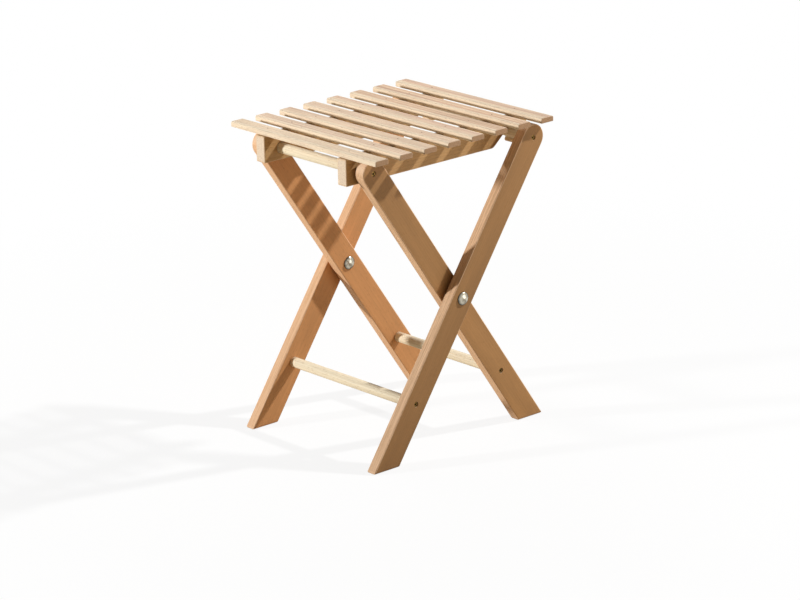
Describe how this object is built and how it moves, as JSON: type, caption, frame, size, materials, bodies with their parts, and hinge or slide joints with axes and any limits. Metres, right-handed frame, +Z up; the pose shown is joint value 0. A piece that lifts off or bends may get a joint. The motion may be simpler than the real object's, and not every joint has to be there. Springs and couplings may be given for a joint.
{
  "type": "folding stool",
  "caption": "Wooden folding stool with a slatted seat on crossed legs that turn on bolts; slots in the seat rails hold it open, and it folds flat.",
  "frame": {"origin": "on the floor, midway between the four feet", "axes": "+X along the slats to the stool's right, +Y from its front to its rear, +Z up"},
  "size_m": [0.305, 0.3386, 0.45],
  "materials": {
    "slat_beech": "planed beech, clear satin varnish",
    "rail_beech": "planed beech, clear satin varnish",
    "leg_beech": "steamed beech, clear satin varnish",
    "dowel_beech": "turned pale beech, clear satin varnish",
    "screw_steel": "plain steel, sunk head",
    "pin_steel": "plain steel, set flush",
    "pivot_nickel": "nickel plated, domed",
    "spacer_nylon": "natural nylon"
  },
  "bodies": {
    "inner_frame": {"leg_inner_left": "leg_beech", "leg_inner_right": "leg_beech", "hinge_dowel": "dowel_beech", "rear_stretcher": "dowel_beech", "hinge_dowel_screw_left": "screw_steel", "hinge_dowel_screw_right": "screw_steel", "rear_stretcher_screw_left": "screw_steel", "rear_stretcher_screw_right": "screw_steel"},
    "outer_frame": {"leg_outer_left": "leg_beech", "leg_outer_right": "leg_beech", "catch_dowel": "dowel_beech", "front_stretcher": "dowel_beech", "catch_dowel_screw_left": "screw_steel", "catch_dowel_screw_right": "screw_steel", "front_stretcher_screw_left": "screw_steel", "front_stretcher_screw_right": "screw_steel", "pivot_bolt_left": "pivot_nickel", "pivot_bolt_right": "pivot_nickel", "sleeve_nut_left": "pivot_nickel", "sleeve_nut_right": "pivot_nickel", "leg_spacer_left": "spacer_nylon", "leg_spacer_right": "spacer_nylon"},
    "seat": {"slat_1": "slat_beech", "slat_2": "slat_beech", "slat_3": "slat_beech", "slat_4": "slat_beech", "slat_5": "slat_beech", "slat_6": "slat_beech", "slat_7": "slat_beech", "slat_8": "slat_beech", "rail_left": "rail_beech", "rail_right": "rail_beech", "slat_pin_left_1": "pin_steel", "slat_pin_left_2": "pin_steel", "slat_pin_left_3": "pin_steel", "slat_pin_left_4": "pin_steel", "slat_pin_left_5": "pin_steel", "slat_pin_left_6": "pin_steel", "slat_pin_left_7": "pin_steel", "slat_pin_left_8": "pin_steel", "slat_pin_right_1": "pin_steel", "slat_pin_right_2": "pin_steel", "slat_pin_right_3": "pin_steel", "slat_pin_right_4": "pin_steel", "slat_pin_right_5": "pin_steel", "slat_pin_right_6": "pin_steel", "slat_pin_right_7": "pin_steel", "slat_pin_right_8": "pin_steel"}
  },
  "joints": [
    {"name": "frame_fold", "type": "hinge", "parent": "inner_frame", "child": "outer_frame", "pos_m": [0, 0, 0.217], "axis": [1, 0, 0], "range_deg": [0, 58.5]},
    {"name": "seat_lift", "type": "hinge", "parent": "inner_frame", "child": "seat", "pos_m": [0, -0.139, 0.4207], "axis": [1, 0, 0], "range_deg": [0, 117]}
  ],
  "couplings": [
    {"joint": "seat_lift", "follows": "frame_fold", "ratio": 2}
  ]
}
